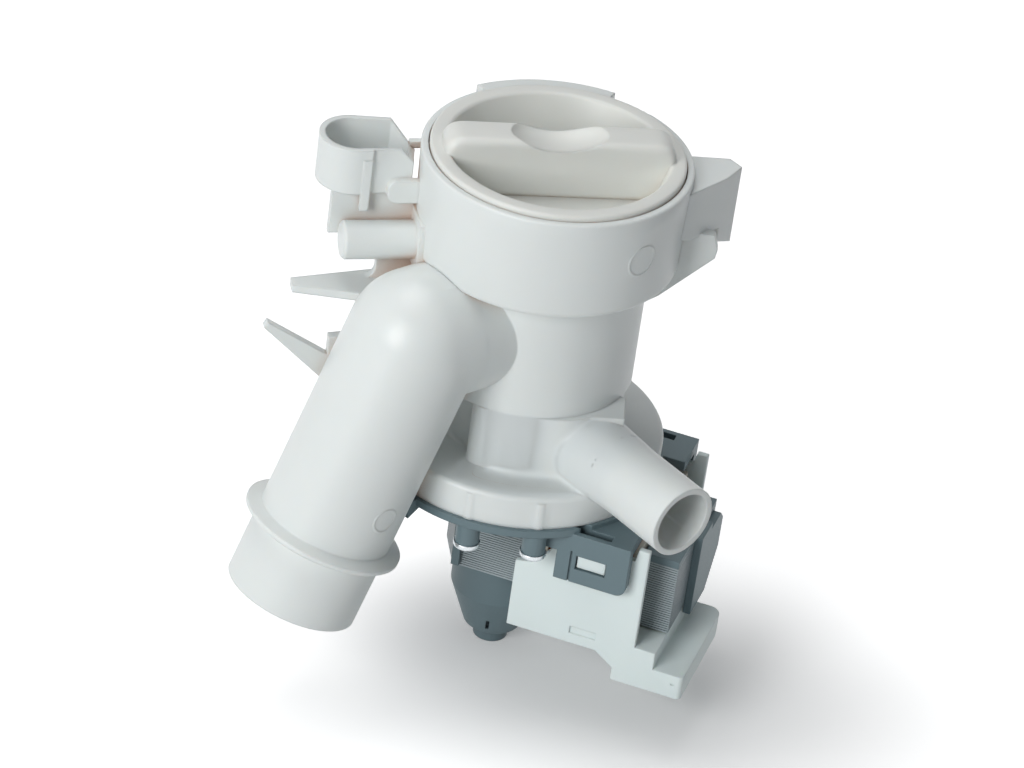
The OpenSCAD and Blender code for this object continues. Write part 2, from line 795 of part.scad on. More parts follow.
// Disc that closes the rotor can and holds the front bearing.
module rotor_cover() color(grey) translate([0, 0, rotor_cover_z]) difference() {
    cylinder(r = rotor_cover_r - 0.1, h = flange_top - rotor_cover_z);
    translate([0, 0, head_seat_z - rotor_cover_z])
        cylinder(r = bearing_r + mount_t + 0.05, h = bearing_h + 5);
    translate([0, 0, -1]) cylinder(r = shaft_r + 1, h = 30);
}

// Outside of the rotor can, its taper and its bearing nose.
module can_skin() {
    rotate_extrude() {
        translate([0, can_low]) square([can_r, can_len + eps]);
        polygon([[0, nose_len], [can_tip_r, nose_len], [can_r, can_low], [0, can_low]]);
        square([nose_r, nose_len + eps]);
    }
    rotate([0, 0, -8]) translate([0, 0.8, 0]) rotate([90, 0, 0]) linear_extrude(1.6)
        polygon([[nose_r, nose_len + 1], [can_tip_r + 5.4, nose_len + 4.4], [can_tip_r + 1, nose_len + 8]]);
}

module can_hollow() {
    tail_r = tail_bearing_r + mount_t + 0.05;
    rotate_extrude() {
        translate([0, can_low + 1]) square([can_bore, seam_z - can_low]);
        polygon([[0, tail_seat_z + tail_bearing_h], [tail_r, tail_seat_z + tail_bearing_h],
            [can_bore, can_low + 1], [0, can_low + 1]]);
        translate([0, tail_seat_z]) square([tail_r, tail_bearing_h + eps]);
        translate([0, shaft_low - 0.5]) square([shaft_r + 0.4, 6]);
        translate([0, rotor_cover_z]) square([rotor_cover_r, flange_h + 1]);
    }
}

// Hook bracket that grips the coil cover's side, on the side given by its sign.
module cover_bracket(side) mirror([0, side < 0 ? 1 : 0, 0]) difference() {
    roof = 3.2;
    translate([0, hook_face, 0]) rotate([90, 0, 0]) linear_extrude(hook_depth) difference() {
        translate([hook_start, hook_low]) square([hook_len, hook_top - hook_low]);
        translate([hook_start + hook_len, hook_low]) mirror([0, 1]) corner_cut(3);
    }
    translate([hook_start - 1, 0, hook_low - 1])
        cube([hook_len - hook_wall + 1, hook_face - hook_wall, hook_top - hook_low - roof + 1]);
    translate([hook_start - 1, 0, hook_low - 1])
        cube([hook_len + 2, cover_out + fit, hook_top - hook_low - roof + 1]);
    translate([window_start, hook_face - 10, window_low]) cube([window_len, 20, window_h]);
    translate([window_start - 1.8, hook_face - 0.6, hook_low - 1])
        cube([0.6, 1, window_low + window_h + 2.2 - hook_low]);
}

module motor_frame() color(grey) {
    difference() {
        union() {
            translate([0, 0, plate_low]) cylinder(r = plate_r, h = plate_t);
            translate([0, 0, seam_z - eps]) cylinder(r = spigot_r, h = flange_h);
            can_skin();
            for (turn = screw_turns) rotate([0, 0, turn])
                translate([screw_reach, 0, plate_low - boss_h]) cylinder(r = boss_r, h = boss_h + eps);
            motor_axes() {
                cover_bracket(1);
                cover_bracket(-1);
                for (side = [-1, 1]) {
                    translate([-9.4, side * (stack_half_w + 1.1) - 0.9, stack_low + 1])
                        cube([2.4, 1.8, plate_low - stack_low - 1 + eps]);
                    translate([hook_start - 5, side * (hook_face - 1) - 1, plate_low - 6])
                        cube([6, 2, 6 + eps]);
                }
            }
            rotate([0, 0, -131]) translate([0, 3, 0]) rotate([90, 0, 0]) linear_extrude(6)
                polygon([[plate_r - 3, seam_z - fit], [plate_r + 3.4, seam_z - fit],
                    [plate_r + 2.6, plate_low - 3.5], [plate_r - 3, plate_low - 0.5]]);
        }
        can_hollow();
        outer_pipe(fit, bend_len);
        translate([0, 0, seam_z + 3]) rotate_extrude() translate([spigot_r - 2.4, 0]) square([3, 2.6]);
        for (turn = screw_turns) rotate([0, 0, turn])
            translate([screw_reach, 0, plate_low - boss_h - 1]) cylinder(r = screw_r + fit / 6, h = 30);
        translate([-1.5, -can_tip_r - 4, nose_len + 2]) cube([1, 5, 4]);
        motor_axes() for (side = [-1, 1])
            translate([slot_start, side * (cover_out + 0.6) - slot_w / 2, plate_low - 4])
                cube([window_start + window_len - slot_start, slot_w, 10]);
    }
    for (turn = hook_turns) rotate([0, 0, turn - hook_arc / 2]) rotate_extrude(angle = hook_arc) {
        translate([skirt_bore - 4.4, seam_z - eps]) square([2, 5.6]);
        translate([skirt_bore - 4.4, seam_z + 4]) square([4.1, 1.6]);
    }
}

module housing_seal() color(rubber) rotate_extrude()
    translate([spigot_r - 0.95, seam_z + 3 + 1.3]) circle(r = 1.2);

module housing_screws() color(steel) for (turn = screw_turns)
    rotate([0, 0, turn]) translate([screw_reach, 0, plate_low - boss_h]) {
        translate([0, 0, -screw_head_h]) cylinder(r = screw_head_r, h = screw_head_h);
        translate([0, 0, -eps]) cylinder(r = screw_r - 0.05, h = boss_h + plate_t + flange_h - 3.5);
    }

module stator_core() color(steel) motor_axes() translate([0, 0, stack_low])
    linear_extrude(stack_h) difference() {
        polygon([[-can_r - 1.8, -6], [4.5 - can_r, -stack_half_w], [leg_end, -stack_half_w],
            [leg_end, stack_half_w], [4.5 - can_r, stack_half_w], [-can_r - 1.8, 6]]);
        circle(r = can_r + fit);
        translate([0, -2]) square([leg_start + 1, 4]);
        translate([leg_start, -leg_gap / 2]) square([leg_end, leg_gap]);
    }

module stator_yoke() color(steel) motor_axes() translate([leg_end, -stack_half_w, yoke_low])
    cube([yoke_t, 2 * stack_half_w, stack_top - yoke_low]);

module coil_bobbin(side) {
    len = leg_end - leg_start;
    flange_t = 1.2;
    translate([leg_start, side * leg_mid, stack_mid]) rotate([0, 90, 0]) difference() {
        union() {
            translate([-stack_h / 2 - bobbin_wall, -leg_w / 2 - bobbin_wall, 0])
                cube([stack_h + 2 * bobbin_wall, leg_w + 2 * bobbin_wall, len]);
            for (at = [0, len - flange_t]) translate([-coil_half_h, -coil_half_w, at])
                cube([2 * coil_half_h, 2 * coil_half_w, flange_t]);
        }
        translate([-stack_h / 2 - 0.1, -leg_w / 2 - 0.1, -1])
            cube([stack_h + 0.2, leg_w + 0.2, len + 2]);
    }
}

module coil_winding(side) {
    flange_t = 1.2;
    len = leg_end - leg_start - 2 * flange_t;
    translate([leg_start + flange_t, side * leg_mid, stack_mid]) rotate([0, 90, 0]) difference() {
        translate([-coil_half_h + 0.6, -coil_half_w + 0.6, 0])
            cube([2 * coil_half_h - 1.2, 2 * coil_half_w - 1.2, len]);
        translate([-stack_h / 2 - bobbin_wall, -leg_w / 2 - bobbin_wall, -1])
            cube([stack_h + 2 * bobbin_wall, leg_w + 2 * bobbin_wall, len + 2]);
    }
}

module coil_bobbin_front() color(white) motor_axes() coil_bobbin(-1);
module coil_bobbin_rear() color(white) motor_axes() coil_bobbin(1);
module coil_winding_front() color(copper) motor_axes() coil_winding(-1);
module coil_winding_rear() color(copper) motor_axes() coil_winding(1);

// Side wall of the coil cover, drawn along the motor and up.
module cover_side() rotate([90, 0, 0]) linear_extrude(cover_wall) polygon([
    [cover_start, cover_low], [cover_start, stack_top - 6], [17, stack_top - 5], [22, stack_top + 0.5],
    [24, wall_top], [hook_start + hook_len + 0.6, wall_top], [hook_start + hook_len + 1.4, wall_high],
    [cover_end, wall_high], [cover_end, shelf_z], [shelf_end, shelf_z], [shelf_end, toe_z],
    [foot_start + 1, cover_low - 5], [foot_start - 5.7, cover_low]]);

// Stepped foot of the coil cover, hollow from below: a shelf under the yoke and a lower toe.
module cover_foot() difference() {
    riser = cover_end - cover_wall;
    translate([0, foot_back, 0]) rotate([90, 0, 0]) linear_extrude(cover_out + foot_back) polygon([
        [foot_start, foot_low], [foot_end, foot_low], [foot_end, toe_z], [shelf_end, toe_z],
        [shelf_end, shelf_z], [riser, shelf_z], [riser, cover_low + 1], [foot_start, cover_low + 1]]);
    translate([0, foot_back - cover_wall, 0]) rotate([90, 0, 0])
        linear_extrude(cover_in + foot_back - cover_wall) polygon([
            [foot_start + cover_wall, foot_low - 1], [foot_end - cover_wall, foot_low - 1],
            [foot_end - cover_wall, toe_z - cover_wall], [shelf_end - cover_wall, toe_z - cover_wall],
            [shelf_end - cover_wall, shelf_z - cover_wall], [cover_end, shelf_z - cover_wall],
            [cover_end, cover_low], [foot_start + cover_wall, cover_low]]);
    translate([foot_end, foot_back, foot_low - 1]) linear_extrude(foot_drop + 2) corner_cut(3.5);
    translate([foot_end, -cover_out, foot_low - 1]) linear_extrude(foot_drop + 2)
        mirror([0, 1]) corner_cut(1.5);
    for (across = blade_across)
        translate([blade_x - fit / 2, across - blade_w / 2 - fit / 2, shelf_z - cover_wall - 1])
            cube([blade_t + fit, blade_w + fit, cover_wall + 2]);
}

// Shell round the coils, open above, with a hollow foot that holds the connector.
module coil_cover() color(mint) motor_axes() {
    translate([0, -cover_in, 0]) cover_side();
    translate([0, cover_out, 0]) cover_side();
    difference() {
        translate([cover_start, -cover_out, cover_low])
            cube([cover_end - cover_start, 2 * cover_out, cover_wall]);
        cylinder(r = can_r + 1, h = 200);
    }
    cover_foot();
    for (side = [-1, 1]) mirror([0, side < 0 ? 1 : 0, 0])
        translate([window_start + fit, cover_out - eps, window_low + fit])
            cube([window_len - 2 * fit, hook_face - cover_out - 0.7, window_h - 2 * fit]);
}

// Plate with the coil terminals against the yoke's end, and its lip over the yoke.
module terminal_block() color(grey) motor_axes() {
    plate = 2.4;
    corner = 3.5;
    near = -3;
    low = yoke_low - 2.4;
    far_low = 11;
    far = stack_half_w + 1.5;
    high = stack_top - 0.5;
    tab = near + 10;
    translate([stack_reach, 0, 0]) rotate([90, 0, 90]) linear_extrude(plate) polygon([[near, low],
        [far_low, low], [far, high - 4 * corner], [far, high - corner], [far - corner, high],
        [tab, high], [tab, stack_top + plate - 0.5], [near, stack_top + plate - 0.5]]);
    translate([leg_end + 0.5, -stack_half_w, stack_top]) cube([yoke_t - 0.5, 2 * stack_half_w, plate]);
    translate([stack_reach - 1, near + 0.5, stack_top + 0.5]) cube([2, 9, plate - 1.5]);
}

module terminal_blades() color(steel) motor_axes() for (across = blade_across)
    translate([blade_x, across - blade_w / 2, foot_low + 1])
        cube([blade_t, blade_w, yoke_low - fit - foot_low - 1]);

pump_housing();
sump_inlet();
outlet_nozzle();
hose_clip();
guide_prongs();
mounting_wing();
filter_cap();
cap_seal();
lint_filter();
impeller();
drive_dog();
rotor_shaft();
rotor_magnet();
rotor_cover();
front_bearing();
front_bearing_mount();
rear_bearing();
rear_bearing_mount();
motor_frame();
housing_seal();
housing_screws();
stator_core();
stator_yoke();
coil_bobbin_front();
coil_bobbin_rear();
coil_winding_front();
coil_winding_rear();
coil_cover();
terminal_block();
terminal_blades();
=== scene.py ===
# %% [markdown]
# # A washer drain pump, dressed
#
# The pump sits at the foot of a washing machine. Water comes in through the large
# slanted pipe and passes a lint filter in the cup, and a small impeller below it
# lifts the water out through the side pipe. The grey motor hangs under the flange.
# The solids of the pump come in first as a fixed frame. Everything made here is
# modelled around them, in metres and in the same place, so nothing needs fitting.

# %% Load the solids
import math

import bpy
from mathutils import Matrix, Vector


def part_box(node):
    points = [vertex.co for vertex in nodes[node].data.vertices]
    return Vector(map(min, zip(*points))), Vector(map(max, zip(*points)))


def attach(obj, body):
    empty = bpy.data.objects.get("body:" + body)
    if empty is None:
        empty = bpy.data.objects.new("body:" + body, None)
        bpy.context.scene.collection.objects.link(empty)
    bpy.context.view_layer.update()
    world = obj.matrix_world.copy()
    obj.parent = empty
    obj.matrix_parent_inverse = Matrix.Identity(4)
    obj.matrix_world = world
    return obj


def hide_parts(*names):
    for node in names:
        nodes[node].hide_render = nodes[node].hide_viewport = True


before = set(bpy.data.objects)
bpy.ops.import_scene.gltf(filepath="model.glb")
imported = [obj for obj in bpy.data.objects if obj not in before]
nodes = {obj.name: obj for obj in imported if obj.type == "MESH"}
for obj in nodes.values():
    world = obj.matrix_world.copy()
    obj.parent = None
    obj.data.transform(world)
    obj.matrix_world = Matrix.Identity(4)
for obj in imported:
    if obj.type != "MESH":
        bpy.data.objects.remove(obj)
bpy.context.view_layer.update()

MM = 0.001

# %% [markdown]
# ## Camera
#
# The camera comes before any shape, so that every render can be laid over the
# photograph. Its place was found by fitting the cup's rim, the pipes and the motor.
# A long lens far away keeps the pump's sides nearly parallel, as in a catalogue.

# %% Place the camera
CAMERA_PLACE = (0, -1.04741, 0.77404)
CAMERA_TURN = (56.56924, -6.7607, 4.65504)
camera_data = bpy.data.cameras.new("catalogue_camera")
camera_data.sensor_width = 36
camera_data.lens = 151.02
camera_data.clip_start = 0.05
camera = bpy.data.objects.new("catalogue_camera", camera_data)
camera.location = CAMERA_PLACE
camera.rotation_euler = [math.radians(angle) for angle in CAMERA_TURN]
bpy.context.scene.collection.objects.link(camera)
bpy.context.scene.camera = camera
print("camera at", tuple(camera.location))

# %% [markdown]
# ## Light
#
# The photograph was lit by a large soft box from the left and front. The right side
# of the cup falls into a soft shade, so the fill from above is weak. Area lamps are
# used, because their size is what makes the shadows' edges as soft as a real box does.

# %% Hang the lamps
bpy.context.scene.view_settings.view_transform = "Standard"
PUMP_MIDDLE = Vector((0, 0, 0.095))


def soft_box(name, place, size, watts, tint):
    lamp = bpy.data.lights.new(name, "AREA")
    lamp.shape = "RECTANGLE"
    lamp.size, lamp.size_y = size
    lamp.energy = watts
    lamp.color = tint
    holder = bpy.data.objects.new(name, lamp)
    holder.location = place
    holder.rotation_euler = (PUMP_MIDDLE - Vector(place)).to_track_quat("-Z", "Y").to_euler()
    bpy.context.scene.collection.objects.link(holder)
    return holder


soft_box("key_box", (-0.75, -1.1, 0.7), (0.6, 0.8), 12.8, (0.99, 1, 1))
soft_box("top_box", (-0.25, 0.2, 1.3), (0.7, 0.7), 5.2, (1, 0.995, 0.985))
print(len(bpy.data.lights), "lamps")

# %% [markdown]
# ## Small helpers
#
# One function turns a sRGB hex colour to the linear values that Blender works in.
# Another adds a node with its settings and links, so a material reads like a list.
# A third tells rays that look at a surface from rays that only light other things, so
# that a background can look white and still throw little light.

# %% Helpers for colours and nodes


def linear(hex_colour):
    channels = [int(hex_colour[i:i + 2], 16) / 255 for i in (1, 3, 5)]
    return [c / 12.92 if c <= 0.04045 else ((c + 0.055) / 1.055) ** 2.4 for c in channels] + [1]


def add_node(owner, kind, inputs=None, **settings):
    """Adds a node; an input given as a socket is linked, and any other value is set."""
    node = owner.node_tree.nodes.new("ShaderNode" + kind)
    for name, value in settings.items():
        setattr(node, name, value)
    for name, value in (inputs or {}).items():
        if isinstance(value, bpy.types.NodeSocket):
            owner.node_tree.links.new(value, node.inputs[name])
        else:
            node.inputs[name].default_value = value
    return node


def seen_directly(owner):
    """A socket that is 1 for what the camera, a reflection or a clear part looks at."""
    paths = add_node(owner, "LightPath")
    seen = paths.outputs["Is Camera Ray"]
    for name in ("Is Glossy Ray", "Is Transmission Ray"):
        seen = add_node(owner, "Math", {0: seen, 1: paths.outputs[name]}, operation="MAXIMUM").outputs[0]
    return seen


def new_material(name, roughness, metallic=0.0, ior=1.5):
    material = bpy.data.materials.new(name)
    material.use_nodes = True
    shader = material.node_tree.nodes["Principled BSDF"]
    shader.inputs["Roughness"].default_value = roughness
    shader.inputs["Metallic"].default_value = metallic
    shader.inputs["IOR"].default_value = ior
    return material, shader


print("white is", linear("#ffffff"))

# %% [markdown]
# ## The room
#
# A studio's walls throw back a weak and slightly cool light, which keeps the shaded
# sides from going black. The camera sees plain white in their place, and so do the
# reflections in metal and plastic, so that the background is white without more
# light falling on the pump.

# %% Light the room
ROOM_STRENGTH = 0.2
world = bpy.data.worlds.new("studio_room")
bpy.context.scene.world = world
world.use_nodes = True
room = world.node_tree.nodes["Background"]
room.inputs["Color"].default_value = (0.9, 0.95, 1, 1)
room.inputs["Strength"].default_value = ROOM_STRENGTH
bright = add_node(world, "Background", {"Color": (1, 1, 1, 1)})
choose = add_node(world, "MixShader", {"Fac": seen_directly(world)})
world.node_tree.links.new(room.outputs[0], choose.inputs[1])
world.node_tree.links.new(bright.outputs[0], choose.inputs[2])
world.node_tree.links.new(choose.outputs[0], world.node_tree.nodes["World Output"].inputs["Surface"])
print("room strength", ROOM_STRENGTH)

# %% [markdown]
# ## Moulded plastics
#
# The white parts are polypropylene from a steel mould: a satin skin with a faint
# orange-peel from the tool's spark erosion, slow shifts of tone where the melt flowed,
# and edges rounded by less than a millimetre. A little light goes through the white,
# so it is given some haze under the skin. Its hollows are painted a warmer, darker
# tone: painted shade, and painted bounce light, because light that has bounced between
# white walls grows yellower each time. The grey parts are nylon filled with glass,
# which lies duller and is speckled by its fibres.
#
# One function makes them all, because they differ in numbers only. The flow patches
# are 38 mm across, about half the cup's width, and the grain is half a millimetre,
# which is coarser than a real one, so that it shows in the picture.

# %% Satin plastic
FLOW_MM, PAINTED_SHADE_REACH_MM, OPEN_SHARE = 38, 9, 0.42
GRAIN_DEPTH_MM, HAZE_DEPTH_MM = 0.05, 2.5


def moulded_plastic(name, tone, flow_tone, painted_shade_tone, roughness, edge_mm, grain_mm, grain, haze):
    """A satin skin that shifts in tone with the melt's flow, with painted shade in its hollows."""
    material, shader = new_material(name, roughness)
    place = add_node(material, "TexCoord").outputs["Object"]
    flow = add_node(material, "TexNoise", {"Vector": place, "Scale": 1 / (FLOW_MM * MM), "Detail": 3.0})
    tones = add_node(material, "Mix", {"Factor": flow.outputs[0]}, data_type="RGBA")
    tones.inputs[6].default_value = linear(tone)
    tones.inputs[7].default_value = linear(flow_tone)
    # Painted shade: where the AO node finds little open air, the colour is mixed towards the painted shade
    # tone.
    open_air = add_node(material, "AmbientOcclusion", {"Distance": PAINTED_SHADE_REACH_MM * MM}, samples=6)
    painted_shade_mask = add_node(material, "MapRange", {"Value": open_air.outputs["AO"], "From Min": 0.0,
        "From Max": OPEN_SHARE, "To Min": 0.0, "To Max": 1.0})
    shaded = add_node(material, "Mix", {"Factor": painted_shade_mask.outputs[0]}, data_type="RGBA")
    shaded.inputs[6].default_value = linear(painted_shade_tone)
    material.node_tree.links.new(tones.outputs[2], shaded.inputs[7])
    material.node_tree.links.new(shaded.outputs[2], shader.inputs["Base Color"])
    skin = add_node(material, "TexNoise", {"Vector": place, "Scale": 1 / (grain_mm * MM), "Detail": 2.0})
    sheen = add_node(material, "MapRange", {"Value": skin.outputs[0], "From Min": 0.3, "From Max": 0.7,
        "To Min": roughness - 0.05, "To Max": roughness + 0.07})
    material.node_tree.links.new(sheen.outputs[0], shader.inputs["Roughness"])
    edges = add_node(material, "Bevel", {"Radius": edge_mm * MM}, samples=6)
    relief = add_node(material, "Bump", {"Height": skin.outputs[0], "Strength": grain,
        "Distance": GRAIN_DEPTH_MM * MM, "Normal": edges.outputs[0]})
    material.node_tree.links.new(relief.outputs[0], shader.inputs["Normal"])
    shader.inputs["Subsurface Weight"].default_value = haze
    shader.inputs["Subsurface Radius"].default_value = (1.0, 0.8, 0.65)
    shader.inputs["Subsurface Scale"].default_value = HAZE_DEPTH_MM * MM
    return material


# In every plastic below, the third colour is painted shade for its hollows and creases.
# Injection-moulded polypropylene: a cool white satin with a soft, wide sheen.
white_moulding = moulded_plastic("white_polypropylene", "#e3e7e5", "#dde1e0", "#ccae9a",
    roughness=0.36, edge_mm=0.8, grain_mm=0.6, grain=0.12, haze=0.25)
# The cap comes from another mould with a duller skin, and its white is a shade warmer.
cap_moulding = moulded_plastic("white_cap_polypropylene", "#e3e4df", "#dddeda", "#cfc0b1",
    roughness=0.42, edge_mm=1.0, grain_mm=0.6, grain=0.12, haze=0.25)
# Polyester that is cast round the coils: pale and bluish, and duller than the white.
pale_moulding = moulded_plastic("pale_polyester_cover", "#e2eceb", "#dbe6e5", "#cfd8d2",
    roughness=0.45, edge_mm=0.6, grain_mm=0.5, grain=0.15, haze=0.15)
# Nylon with glass fibres: a blue-grey whose fibres rough up the skin and stop the haze.
grey_moulding = moulded_plastic("grey_glass_filled_nylon", "#66797f", "#5f7278", "#4e5c61",
    roughness=0.46, edge_mm=0.5, grain_mm=0.35, grain=0.3, haze=0.0)
# Bare nylon of the bobbins: the colour of cream, and a little see-through.
nylon = moulded_plastic("natural_nylon", "#d9d5c8", "#d2cdbf", "#c9c2b0",
    roughness=0.42, edge_mm=0.3, grain_mm=0.5, grain=0.1, haze=0.2)
# Nylon with soot for the impeller: black, with a sheen on its vanes.
black_moulding = moulded_plastic("black_impeller_nylon", "#232425", "#1e1f20", "#1a1b1c",
    roughness=0.4, edge_mm=0.3, grain_mm=0.5, grain=0.15, haze=0.0)
# Pressed rubber of the seals: a dull black that shows the grain of its mould.
seal_rubber = moulded_plastic("black_seal_rubber", "#1c1c1d", "#222223", "#161617",
    roughness=0.62, edge_mm=0.2, grain_mm=0.3, grain=0.35, haze=0.0)
print(len(bpy.data.materials), "plastics and rubbers")

# %% [markdown]
# ## Metals and the rest
#
# The metals are bare or plated, and what tells them apart is their grain: a ground
# shaft has fine rings round it, a plated screw is evenly cloudy, and sintered bronze
# is a dull, open mass of grains. So the noise drives the roughness and the relief,
# and is stretched where a tool has left lines. The magnet and the painted edges of
# the steel sheets show no bare metal, so they are made as the plastics are.

# %% Metals
METAL_EDGE_MM, METAL_RELIEF_MM = 0.15, 0.03


def worn_metal(name, tone, roughness, grain_mm, stretch, relief_strength):
    """Bare metal with a grain that clouds its gloss, stretched along or across."""
    material, shader = new_material(name, roughness, metallic=1.0)
    shader.inputs["Base Color"].default_value = linear(tone)
    place = add_node(material, "TexCoord").outputs["Object"]
    turned = add_node(material, "Mapping", {"Vector": place, "Scale": stretch})
    grain = add_node(material, "TexNoise", {"Vector": turned.outputs[0], "Scale": 1 / (grain_mm * MM),
        "Detail": 4.0})
    sheen = add_node(material, "MapRange", {"Value": grain.outputs[0], "From Min": 0.25, "From Max": 0.75,
        "To Min": roughness - 0.08, "To Max": roughness + 0.12})
    material.node_tree.links.new(sheen.outputs[0], shader.inputs["Roughness"])
    edges = add_node(material, "Bevel", {"Radius": METAL_EDGE_MM * MM}, samples=4)
    relief = add_node(material, "Bump", {"Height": grain.outputs[0], "Strength": relief_strength,
        "Distance": METAL_RELIEF_MM * MM, "Normal": edges.outputs[0]})
    material.node_tree.links.new(relief.outputs[0], shader.inputs["Normal"])
    return material


# Centreless-ground steel: bright, with fine rings round the shaft.
ground_steel = worn_metal("ground_shaft_steel", "#c4c4c6", roughness=0.28, grain_mm=0.25,
    stretch=(1, 1, 6), relief_strength=0.2)
# Steel with a thin coat of zinc: silvery and faintly blue, with a cloudy gloss.
zinc_steel = worn_metal("zinc_plated_steel", "#d3d8db", roughness=0.26, grain_mm=0.8,
    stretch=(1, 1, 1), relief_strength=0.2)
# Sintered bronze soaked in oil: brown, dull and grainy.
bronze = worn_metal("sintered_bronze", "#a37c4f", roughness=0.5, grain_mm=0.15,
    stretch=(1, 1, 1), relief_strength=0.5)
# Stamped brass with a coat of tin: pale, with streaks along the blade.
tinned = worn_metal("tinned_brass", "#cfc9b8", roughness=0.3, grain_mm=0.4,
    stretch=(1, 4, 1), relief_strength=0.2)
# Copper wire under clear enamel: orange-red and glossy.
enamelled = worn_metal("enamelled_copper_wire", "#b8672f", roughness=0.3, grain_mm=0.3,
    stretch=(1, 1, 1), relief_strength=0.1)
# The third colour of the next three is painted shade for their hollows.
# Fired ferrite of the magnet: charcoal, stony and nearly without a sheen.
ferrite = moulded_plastic("sintered_ferrite", "#2e2e30", "#29292b", "#242426",
    roughness=0.55, edge_mm=0.2, grain_mm=0.2, grain=0.4, haze=0.0)
# Sheared edges of silicon steel under a clear varnish: a cold grey with a wet gloss.
sheet_steel = moulded_plastic("varnished_sheet_edges", "#a9b4b8", "#98a4a9", "#8b9599",
    roughness=0.34, edge_mm=0.1, grain_mm=0.5, grain=0.4, haze=0.0)
# Varnish between two sheets, together with painted shade of the gap: nearly black.
varnish_and_painted_shade = moulded_plastic("varnish_and_painted_shade_between_sheets", "#3c4749", "#353f41", "#2c3436",
    roughness=0.5, edge_mm=0.1, grain_mm=0.5, grain=0.3, haze=0.0)
print(len(bpy.data.materials), "materials")

# %% [markdown]
# ## Finishes for the solids
#
# Most solids already have the shape of the real piece and only need its finish. A
# finish goes into the mesh's material list, and the mesh itself is left alone. Even
# the solids that are replaced further down are dressed, so that none is ever bare.

# %% Dress the solids
finishes = {
    "pump_housing": white_moulding, "sump_inlet": white_moulding, "outlet_nozzle": white_moulding,
    "hose_clip": white_moulding, "guide_prongs": white_moulding, "mounting_wing": white_moulding,
    "filter_cap": cap_moulding, "cap_seal": seal_rubber, "lint_filter": cap_moulding,
    "impeller": black_moulding, "drive_dog": nylon, "rotor_shaft": ground_steel,
    "rotor_magnet": ferrite, "rotor_cover": grey_moulding, "front_bearing": bronze,
    "front_bearing_mount": seal_rubber, "rear_bearing": bronze, "rear_bearing_mount": seal_rubber,
    "motor_frame": grey_moulding, "housing_seal": seal_rubber, "housing_screws": zinc_steel,
    "stator_core": sheet_steel, "stator_yoke": sheet_steel, "coil_bobbin_front": nylon,
    "coil_bobbin_rear": nylon, "coil_winding_front": enamelled, "coil_winding_rear": enamelled,
    "coil_cover": pale_moulding, "terminal_block": grey_moulding, "terminal_blades": tinned}
for name, finish in finishes.items():
    mesh = nodes[name].data
    mesh.materials.clear()
    mesh.materials.append(finish)
print(len(finishes), "solids dressed of", len(nodes))

# %% [markdown]
# ## Modelling helpers
#
# Each piece starts as a primitive and is shaped in edit mode. A turned piece is a ring
# that is extruded and scaled along a profile. A cut-out piece is a disc whose points
# are moved to an outline before it is extruded. Corners of both outlines are rounded
# first, so that the mesh itself has the soft edges of a moulding.
#
# An operator acts on whatever is selected, and the solids come in selected. So every
# helper clears the selection first and then selects the one mesh that it works on.

# %% Helpers for selecting and finishing


def deselect():
    if bpy.context.object and bpy.context.object.mode != "OBJECT":
        bpy.ops.object.mode_set(mode="OBJECT")
    bpy.ops.object.select_all(action="DESELECT")


def activate(piece):
    deselect()
    piece.select_set(True)
    bpy.context.view_layer.objects.active = piece
    return piece


def apply_modifier(piece, kind, **settings):
    """Adds a modifier with its settings and turns its result into plain mesh."""
    modifier = piece.modifiers.new(kind.title(), kind)
    for name, value in settings.items():
        setattr(modifier, name, value)
    activate(piece)
    bpy.ops.object.modifier_apply(modifier=modifier.name)
    return piece


def clean(piece, gap_mm=0.001):
    """Merges doubled points and turns all faces outwards."""
    activate(piece)
    bpy.ops.object.mode_set(mode="EDIT")
    bpy.ops.mesh.select_all(action="SELECT")
    bpy.ops.mesh.remove_doubles(threshold=gap_mm * MM)
    bpy.ops.mesh.dissolve_degenerate(threshold=gap_mm * MM)
    bpy.ops.mesh.normals_make_consistent(inside=False)
    bpy.ops.object.mode_set(mode="OBJECT")
    return piece


def finish_piece(piece, finish, body="root", replaced=(), angle=32):
    """Shades the piece, dresses it and lets it ride on a body."""
    activate(piece)
    bpy.ops.object.shade_smooth_by_angle(angle=math.radians(angle))
    piece.data.materials.clear()
    piece.data.materials.append(finish)
    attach(piece, body)
    if replaced:
        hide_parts(*replaced)
    print(piece.name, len(piece.data.polygons), "faces")
    return piece


def combine(piece, other, operation):
    """Adds another mesh to the piece, cuts it away or keeps what both share."""
    apply_modifier(piece, "BOOLEAN", object=other, operation=operation, solver="EXACT")
    bpy.data.objects.remove(other)
    return piece


def move_mesh(piece, matrix):
    """Moves the points themselves, so that the object stays at the origin."""
    piece.data.transform(matrix)
    piece.data.update()
    return piece


# %% [markdown]
# ## Outlines, plates and turned shapes
#
# A moulding or a pressed part is mostly a flat outline with a height, or a profile
# spun round an axis. Two makers cover both, and a third gives plain rods for boring
# and trimming. A profile can't start on the axis itself, because a ring that has been
# scaled to nothing can't be scaled up again, so it starts a hair's breadth beside it.

# %% Helpers for outlines
AXIS_R = 0.05


def rounded(points, radii, steps=5):
    """Rounds the corners of a closed outline, with a radius for each corner."""
    made = []
    for i, point in enumerate(points):
        radius = radii[i] if isinstance(radii, (list, tuple)) else radii
        corner = Vector(point)
        back = Vector(points[i - 1]) - corner
        ahead = Vector(points[(i + 1) % len(points)]) - corner
        half = back.angle(ahead) / 2
        if radius <= 0 or half > math.radians(88):
            made.append(tuple(corner))
            continue
        run = min(radius / math.tan(half), back.length * 0.49, ahead.length * 0.49)
        start, end = corner + back.normalized() * run, corner + ahead.normalized() * run
        for k in range(steps + 1):
            t = k / steps
            made.append(tuple(start * (1 - t) ** 2 + corner * 2 * t * (1 - t) + end * t ** 2))
    return made


def arc(radius, start, end, steps=24):
    """Points on a circle, from one angle to another in degrees."""
    turns = [math.radians(start + (end - start) * k / steps) for k in range(steps + 1)]
    return [(radius * math.cos(t), radius * math.sin(t)) for t in turns]


